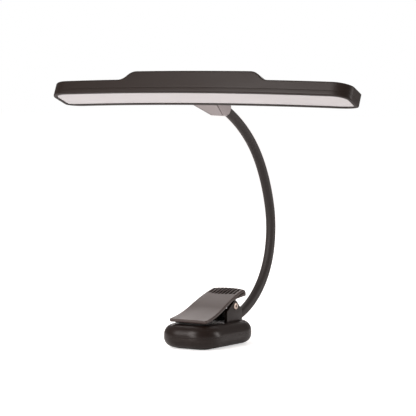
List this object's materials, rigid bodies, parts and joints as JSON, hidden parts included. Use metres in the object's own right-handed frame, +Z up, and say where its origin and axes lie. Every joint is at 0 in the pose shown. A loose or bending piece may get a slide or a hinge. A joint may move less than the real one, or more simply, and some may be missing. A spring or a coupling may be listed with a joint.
{
  "type": "piano lamp",
  "caption": "Clip-on piano lamp: a wide arched light head with an opal diffuser on a bendable gooseneck, carried by a pillow-shaped base with a spring clip lever.",
  "frame": {"origin": "centre of the base's flat foot, on the surface that it stands on", "axes": "+X along the light head, +Y to the rear where the neck leaves the base, +Z up"},
  "size_m": [0.3142, 0.1553, 0.2482],
  "materials": {
    "black_shell": "satin moulded",
    "head_shell": "satin moulded",
    "lever_shell": "satin moulded",
    "mount_shell": "light satin moulded",
    "opal": "opal, slightly satin",
    "silicone": "matt silicone",
    "pad_rubber": "matt",
    "rivet_steel": "satin",
    "spring_steel": "drawn wire",
    "screw_steel": "plated",
    "white_tray": "white reflecting",
    "board_green": "solder mask",
    "strip_white": "white coated",
    "chip_yellow": "phosphor",
    "cell_wrap": "foil pouch",
    "button_black": "satin",
    "switch_metal": "plated",
    "port_metal": "plated",
    "pipe_clear": "clear moulded"
  },
  "bodies": {
    "base": {"foot_pad": "pad_rubber", "base_lower_shell": "black_shell", "base_upper_shell": "black_shell", "base_screws": "screw_steel", "battery_cell": "cell_wrap", "charge_board": "board_green", "usb_socket": "port_metal", "charge_light_pipe": "pipe_clear", "pivot_pin": "rivet_steel", "base_jaw_pad": "pad_rubber", "neck_gland": "pad_rubber", "neck_sleeve_root": "silicone", "neck_core_root": "spring_steel", "torsion_spring": "spring_steel"},
    "lever": {"clip_lever": "lever_shell", "lever_pad": "pad_rubber"},
    "power_key": {"power_button": "button_black"},
    "brightness_key": {"brightness_button": "button_black"},
    "neck_1": {"neck_sleeve_1": "silicone", "neck_core_1": "spring_steel"},
    "neck_2": {"neck_sleeve_2": "silicone", "neck_core_2": "spring_steel"},
    "neck_3": {"neck_sleeve_3": "silicone", "neck_core_3": "spring_steel"},
    "neck_4": {"neck_sleeve_4": "silicone", "neck_core_4": "spring_steel"},
    "neck_5": {"neck_sleeve_5": "silicone", "neck_core_5": "spring_steel"},
    "head": {"head_top_cover": "head_shell", "head_bezel": "head_shell", "diffuser": "opal", "reflector_tray": "white_tray", "led_strip_board": "strip_white", "led_chips": "chip_yellow", "tray_screws": "screw_steel", "control_board": "board_green", "tact_switches": "switch_metal", "neck_mount": "mount_shell", "neck_ferrule": "screw_steel", "mount_screws": "screw_steel", "neck_sleeve_tip": "silicone", "neck_core_tip": "spring_steel"}
  },
  "joints": [
    {"name": "neck_swing_low", "type": "hinge", "parent": "base", "child": "neck_1", "pos_m": [0, 0.0564, 0.0248], "axis": [0, -0.3453, 0.9385], "range_deg": [-30, 30]},
    {"name": "neck_bend_low", "type": "hinge", "parent": "neck_1", "child": "neck_2", "pos_m": [0, 0.089, 0.04672], "axis": [1, 0, 0], "range_deg": [-30, 20]},
    {"name": "neck_swing_middle", "type": "hinge", "parent": "neck_2", "child": "neck_3", "pos_m": [0, 0.10691, 0.08159], "axis": [0, -0.9781, 0.2082], "range_deg": [-30, 30]},
    {"name": "neck_bend_middle", "type": "hinge", "parent": "neck_3", "child": "neck_4", "pos_m": [0, 0.10629, 0.12091], "axis": [1, 0, 0], "range_deg": [-30, 20]},
    {"name": "neck_swing_high", "type": "hinge", "parent": "neck_4", "child": "neck_5", "pos_m": [0, 0.0917, 0.15765], "axis": [0, -0.8702, -0.4927], "range_deg": [-30, 30]},
    {"name": "neck_bend_high", "type": "hinge", "parent": "neck_5", "child": "head", "pos_m": [0, 0.06671, 0.18821], "axis": [1, 0, 0], "range_deg": [-30, 20]},
    {"name": "clip_pivot", "type": "hinge", "parent": "base", "child": "lever", "pos_m": [0, 0.0184, 0.035], "axis": [-1, 0, 0], "range_deg": [0, 25], "stiffness_Nm_per_rad": 0.4, "springref_deg": -28.65, "deforming": ["torsion_spring"]},
    {"name": "power_press", "type": "slide", "parent": "head", "child": "power_key", "axis": [0, -0.3907, -0.9205], "range_m": [0, 0.0008], "stiffness_N_per_m": 400, "springref_m": -0.001},
    {"name": "brightness_press", "type": "slide", "parent": "head", "child": "brightness_key", "axis": [0, -0.3907, -0.9205], "range_m": [0, 0.0008], "stiffness_N_per_m": 400, "springref_m": -0.001}
  ]
}
